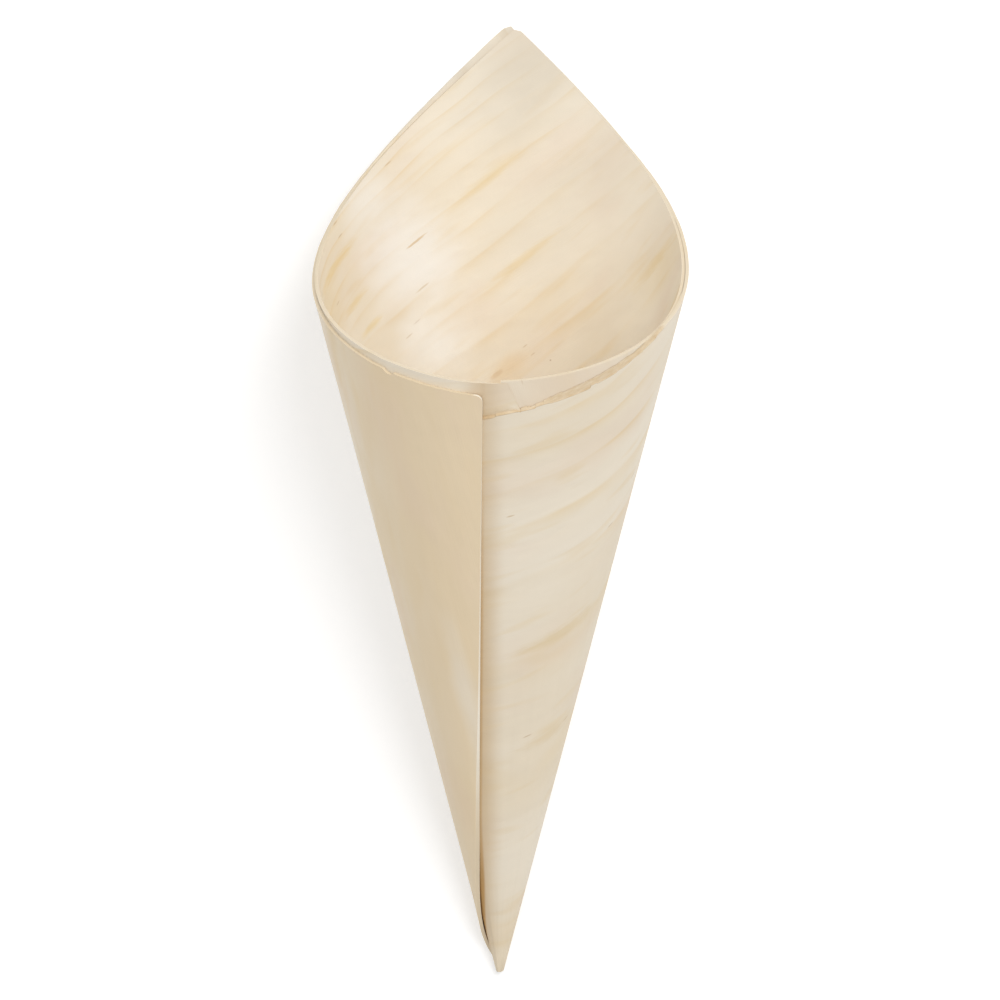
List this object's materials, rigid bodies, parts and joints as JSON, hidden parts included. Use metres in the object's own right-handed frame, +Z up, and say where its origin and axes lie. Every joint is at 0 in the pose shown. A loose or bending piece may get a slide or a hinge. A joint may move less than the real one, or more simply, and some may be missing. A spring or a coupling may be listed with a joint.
{
  "type": "wooden serving cone",
  "caption": "Serving cone rolled from a thin sheet of pale pine veneer, with a long overlapping seam on top and the corners of the sheet standing out as a peak at the mouth.",
  "frame": {"origin": "middle of the bounding box at its base, on the surface that the cone lies on", "axes": "+Y from the point of the cone towards its mouth and peak, +Z up, with the outer seam on top, +X to the right when looking along +Y"},
  "size_m": [0.0574, 0.146, 0.0502],
  "materials": {
    "pine_veneer": "raw"
  },
  "bodies": {
    "root": {"veneer_cone": "pine_veneer"}
  },
  "joints": []
}
